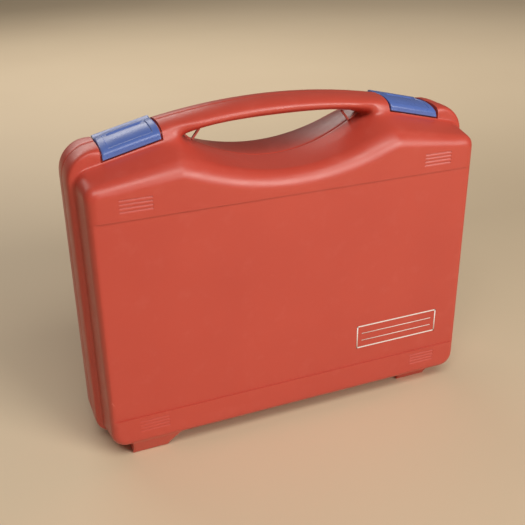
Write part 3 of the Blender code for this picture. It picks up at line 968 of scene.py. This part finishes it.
def rear_seat_section():
    """Room for the top and the barrel of a latch in the rear shell."""
    reach = LATCH_LIP - LATCH_SKIN - FIT
    height = -LATCH_ROUND_Z - LATCH_SKIN
    top = LATCH_ROUND_Z + height
    well = LATCH_AXIS[0] - LATCH_BARREL_RADIUS - FIT
    edge = LATCH_ROUND_Z + height * sqrt(1 - (well / reach) ** 2)
    inside = [(-SEAT_OVERLAP, top), (0.0, top), (well, edge), (well, SEAT_BOTTOM)]
    above = [(SEAT_REACH, SEAT_BOTTOM), (SEAT_REACH, SEAT_TOP), (-SEAT_OVERLAP, SEAT_TOP)]
    return inside + above


def shell_cutter(levels, half_turn):
    """What is taken out of a half shell: its inside, the hollow of the handle, room for the hinges,
    seats and bores.
    """
    turn = Matrix.Rotation(pi, 4, "Z") if half_turn else Matrix.Identity(4)
    cutter = loft("cavity", tray_rings(levels, CAVITY_DEPTHS, WALL), turn)
    combine(cutter, "UNION", loft("handle_hollow", handle_pocket_rings(), turn))
    beyond = block("beyond", (-150.0, -HALF_GAP, -10.0), (150.0, 12.0, 240.0), turn)
    combine(cutter, "UNION", beyond)
    for side in (-1, 1):
        other = side * HINGE_X + KNUCKLE_GAP + KNUCKLE_LENGTH / 2
        place = (other + 0.3, 0.0, AXIS_Z)
        room = rod_x("room", KNUCKLE_RADIUS + 0.5, KNUCKLE_LENGTH + 1.0, place, turn)
        combine(cutter, "UNION", room)
        section = rear_seat_section() if half_turn else front_seat_section()
        half = LATCH_LENGTH / 2 + SEAT_MARGIN
        seat = prism_x("seat", section, half, -side * latch_slope(), latch_frame(side))
        combine(cutter, "UNION", seat)
        if half_turn:
            place = (0.0, *LATCH_AXIS)
            length = LATCH_PIN_LENGTH + 0.8
            radius = LATCH_PIN_RADIUS + PIN_PLAY
            bore = rod_x("bore", radius, length, place, latch_frame(side))
            combine(cutter, "UNION", bore)
    return bake(cutter)


def panel_cutter(turn):
    """Sunk panel that crosses the whole face, out through its rounded edges."""
    low = (-RIM_HALF_WIDTH, -HALF_DEPTH - 2.0, PANEL[0])
    high = (RIM_HALF_WIDTH, -HALF_DEPTH + PANEL_DEPTH, PANEL[1])
    slab = block("panel", low, high, turn)
    bm = bmesh.new()
    bm.from_mesh(slab.data)
    bmesh.ops.subdivide_edges(bm, edges=bm.edges, cuts=PANEL_CUTS, use_grid_fill=True)
    bm.to_mesh(slab.data)
    bm.free()
    return slab


def rib_cutters(turn):
    """Four fine grooves near each corner of the face, steep above and sloped below."""
    grooves = []
    for side in (-1, 1):
        for bottom in RIB_ROWS:
            for line in range(RIB_COUNT):
                z = bottom + RIB_PITCH * line
                section = [
                    (-HALF_DEPTH - 0.6, z - RIB_BELOW),
                    (-HALF_DEPTH + RIB_DEPTH, z),
                    (-HALF_DEPTH - 0.6, z + RIB_ABOVE),
                ]
                place = turn @ Matrix.Translation((side * RIB_X, 0.0, 0.0))
                grooves.append(prism_x("groove", section, RIB_HALF_LENGTH, 0.0, place))
    return grooves


def knuckles(half_turn):
    """One knuckle of each hinge, with its neck up to the flange and its bore."""
    turn = Matrix.Rotation(pi, 4, "Z") if half_turn else Matrix.Identity(4)
    items = []
    for side in (-1, 1):
        own = side * HINGE_X - KNUCKLE_GAP - KNUCKLE_LENGTH / 2
        place = (own, 0.0, AXIS_Z)
        knuckle = rod_x(
            "knuckle", KNUCKLE_RADIUS, KNUCKLE_LENGTH, place, turn, KNUCKLE_CHAMFER
        )
        neck = block(
            "neck",
            (own - KNUCKLE_LENGTH / 2 + 0.5, -KNUCKLE_RADIUS + 0.3, AXIS_Z),
            (own + KNUCKLE_LENGTH / 2 - 0.5, -FIT, RIM_BOTTOM + 1.5),
            turn,
        )
        combine(knuckle, "UNION", neck)
        place = (side * HINGE_X, 0.0, AXIS_Z)
        bore = rod_x("bore", HINGE_PIN_RADIUS + PIN_PLAY, HINGE_PIN_LENGTH + 1.0, place, turn)
        combine(knuckle, "DIFFERENCE", bore)
        items.append(bake(knuckle))
    return items


def build_shell(name, half_turn, body, levels):
    """Finished half shell from its solid body; the front one carries the eyelets."""
    turn = Matrix.Rotation(pi, 4, "Z") if half_turn else Matrix.Identity(4)
    cutters = [shell_cutter(levels, half_turn), panel_cutter(turn), *rib_cutters(turn)]
    combine(body, "DIFFERENCE", joined("cutter", cutters))
    bake(body)
    extras = knuckles(half_turn)
    if not half_turn:
        extras += eyelets()
    shell = joined(name, [body, *extras])
    owner = "base" if half_turn else "lid"
    finish_piece(shell, f"{name}_moulding", RED, name, owner)


# Latches, pins and foam -----------------------------------------------------------------------
def latch_section():
    """Hooked channel: front lip, rolled top, and the barrel that the pin goes through."""
    inner_reach = LATCH_LIP - LATCH_SKIN
    inner_height = -LATCH_ROUND_Z - LATCH_SKIN + FIT
    end = LATCH_TOP_END
    outer = ellipse_arc(LATCH_LIP, LATCH_HEIGHT, LATCH_ROUND_Z, 0.0, end, TOP_STEPS)
    inner = ellipse_arc(inner_reach, inner_height, LATCH_ROUND_Z, end, 0.0, INNER_STEPS)
    barrel = []
    for step in range(BARREL_STEPS + 1):
        turn = BARREL_FROM + (BARREL_TO - BARREL_FROM) * step / BARREL_STEPS
        y = LATCH_AXIS[0] + LATCH_BARREL_RADIUS * cos(turn)
        z = LATCH_AXIS[1] + LATCH_BARREL_RADIUS * sin(turn)
        barrel.append((y, z))
    lip_outer = [(-LATCH_LIP + 0.5, LATCH_LIP_BOTTOM), (-LATCH_LIP, LATCH_LIP_BOTTOM + 0.5)]
    lip_inner = [(-inner_reach, LATCH_LIP_BOTTOM)]
    return lip_outer + outer + barrel + inner + lip_inner


def latch_sink(x, y):
    """How far the top of a latch lies below its rolled outline."""
    end = LATCH_LENGTH / 2 - abs(x)
    field = bump_edge(end, FIELD_MARGIN, FIELD_SOFT)
    field *= bump_edge(y - FIELD_Y[0], 0.0, FIELD_SOFT) * bump_edge(FIELD_Y[1] - y, 0.0, FIELD_SOFT)
    ridge = bump_edge(RIDGE_HALF_WIDTH - abs(y - RIDGE_Y), 0.0, RIDGE_SOFT[0])
    ridge *= bump_edge(end, RIDGE_MARGIN, RIDGE_SOFT[1])
    rounded = max(LATCH_END_ROUND - end, 0.0)
    drop = LATCH_END_DROP * rounded * rounded / LATCH_END_ROUND
    return FIELD_DEPTH * field - RIDGE_HEIGHT * ridge + drop + ARCH * x * x


def bump_edge(value, edge, soft):
    """Smooth step from nothing at the edge to one."""
    share = min(max((value - edge) / soft, 0.0), 1.0)
    return share * share * (3 - 2 * share)


def build_latch(name, side):
    """Latch lofted along its slope, with close stations where its field and ridge begin."""
    section = latch_section()
    half = LATCH_LENGTH / 2
    lean = -side * latch_slope()
    ends = [half - offset for offset in LATCH_OFFSETS]
    stations = [-x for x in ends] + list(LATCH_MIDDLE) + ends[::-1]
    rings = []
    for x in stations:
        ring = []
        for index, (y, z) in enumerate(section):
            outside = 1 <= index <= TOP_STEPS + 2
            sink = latch_sink(x, y) if outside and z > LATCH_ROUND_Z - 1.5 else 0.0
            if outside:
                slope = Vector((y / LATCH_LIP ** 2, (z - LATCH_ROUND_Z) / LATCH_HEIGHT ** 2))
                slope.normalize()
                y -= slope.x * sink
                z -= slope.y * sink
            ring.append((x + lean * z, y, z))
        rings.append(ring)
    latch = loft(name, rings, latch_frame(side))
    place = (0.0, *LATCH_AXIS)
    radius = LATCH_PIN_RADIUS + PIN_PLAY
    bore = rod_x("bore", radius, LATCH_LENGTH + 8.0, place, latch_frame(side))
    combine(latch, "DIFFERENCE", bore)
    bake(latch)
    body = "right_latch" if side > 0 else "left_latch"
    finish_piece(latch, f"{name}_moulding", BLUE, name, body)


def build_pins(word, side):
    """Wires that one latch and one hinge turn on."""
    place = (0.0, *LATCH_AXIS)
    pin = rod_x(
        "pin", LATCH_PIN_RADIUS, LATCH_PIN_LENGTH, place, latch_frame(side), LATCH_PIN_CHAMFER
    )
    finish_piece(pin, f"latch_pin_{word}_wire", STEEL, f"latch_pin_{word}", "base")
    place = (side * HINGE_X, 0.0, AXIS_Z)
    pin = rod_x("pin", HINGE_PIN_RADIUS, HINGE_PIN_LENGTH, place, chamfer=HINGE_PIN_CHAMFER)
    finish_piece(pin, f"hinge_pin_{word}_wire", STEEL, f"hinge_pin_{word}", "base")


def rounded_rectangle(x_from, x_to, z_from, z_to, radius):
    corners = [(x_from, z_from), (x_to, z_from), (x_to, z_to), (x_from, z_to)]
    points = []
    for index, corner in enumerate(corners):
        points += fillet(corners[index - 1], corner, corners[(index + 1) % 4], radius, 8)
    return points


def build_foam(node, layer, facing, pockets, body):
    """Die-cut foam: soft outer edges, sharp pockets."""
    near, far = layer
    soft = FOAM_SOFT
    levels = ((near, soft), (near + 0.35, 0.4), (near + soft, 0.0), (far - soft, 0.0), (far, soft))
    rings = []
    for depth, inset in levels:
        outline = rounded_rectangle(
            inset - FOAM_HALF_WIDTH,
            FOAM_HALF_WIDTH - inset,
            FOAM_BOTTOM + inset,
            FOAM_TOP - inset,
            FOAM_CORNER - inset,
        )
        rings.append([(x, facing * depth, z) for x, z in outline])
    foam = loft(node, rings)
    for pocket in pockets:
        outline = rounded_rectangle(*pocket, POCKET_CORNER)
        hole = prism_y("pocket", outline, -POCKET_REACH, POCKET_REACH)
        combine(foam, "DIFFERENCE", hole)
    bake(foam)
    finish_piece(foam, f"{node}_cut", FOAM, node, body)


def printed_frame():
    """Blank name plate printed on the panel: an outline and two ruled lines to write on."""
    left, bottom, right, top = PLATE
    floor = -HALF_DEPTH + PANEL_DEPTH
    bars = [
        (left, bottom, right, bottom + PLATE_LINE),
        (left, top - PLATE_LINE, right, top),
        (left, bottom, left + PLATE_LINE, top),
        (right - PLATE_LINE, bottom, right, top),
    ]
    for height in RULE_HEIGHTS:
        z = bottom + height
        bars.append((left + RULE_MARGIN, z, right - RULE_MARGIN, z + RULE_LINE))
    items = []
    for x_from, z_from, x_to, z_to in bars:
        lowest = (x_from, floor - PRINT_RISE, z_from)
        items.append(block("bar", lowest, (x_to, floor + PRINT_ROOT, z_to)))
    finish_piece(joined("name_plate", items), "name_plate_print", WHITE, None, "lid")


def eyelets():
    """V-shaped eyelets under both ends of the handle, on the front shell."""
    items = []
    for side in (-1, 1):
        vertex = (side * EYELET_FOOT[0], EYELET_FOOT[1])
        for tip_x, tip_z in EYELET_TIPS:
            tip = (side * tip_x, tip_z)
            along = Vector((tip[0] - vertex[0], tip[1] - vertex[1])).normalized()
            along *= EYELET_HALF_WIDTH
            across = (-along.y, along.x)
            outline = [
                (vertex[0] - along.x + across[0], vertex[1] - along.y + across[1]),
                (vertex[0] - along.x - across[0], vertex[1] - along.y - across[1]),
                (tip[0] - across[0], tip[1] - across[1]),
                (tip[0] + across[0], tip[1] + across[1]),
            ]
            items.append(prism_y("eyelet_arm", outline, *EYELET_DEPTH))
    return items


# Put together ---------------------------------------------------------------------------------
place_camera()
build_stage()

outline_levels = tray_levels()
front_body = build_body(outline_levels)
rear_body = turned_copy(front_body, "rear_body")
build_shell("front_shell", False, front_body, outline_levels)
build_shell("rear_shell", True, rear_body, outline_levels)

printed_frame()

for side_word, side_sign in (("left", -1), ("right", 1)):
    build_latch(f"latch_{side_word}", side_sign)
    build_pins(side_word, side_sign)

build_foam("base_foam_pad", FOAM_PAD, 1, (), "base")
build_foam("base_foam_block", FOAM_BLOCK, 1, FOAM_POCKETS, "base")
build_foam("lid_foam_pad", FOAM_PAD, -1, (), "lid")
build_foam("lid_foam_block", FOAM_BLOCK, -1, FOAM_POCKETS[:1], "lid")

for tool in list(work.objects):
    bpy.data.objects.remove(tool, do_unlink=True)
bpy.data.collections.remove(work)
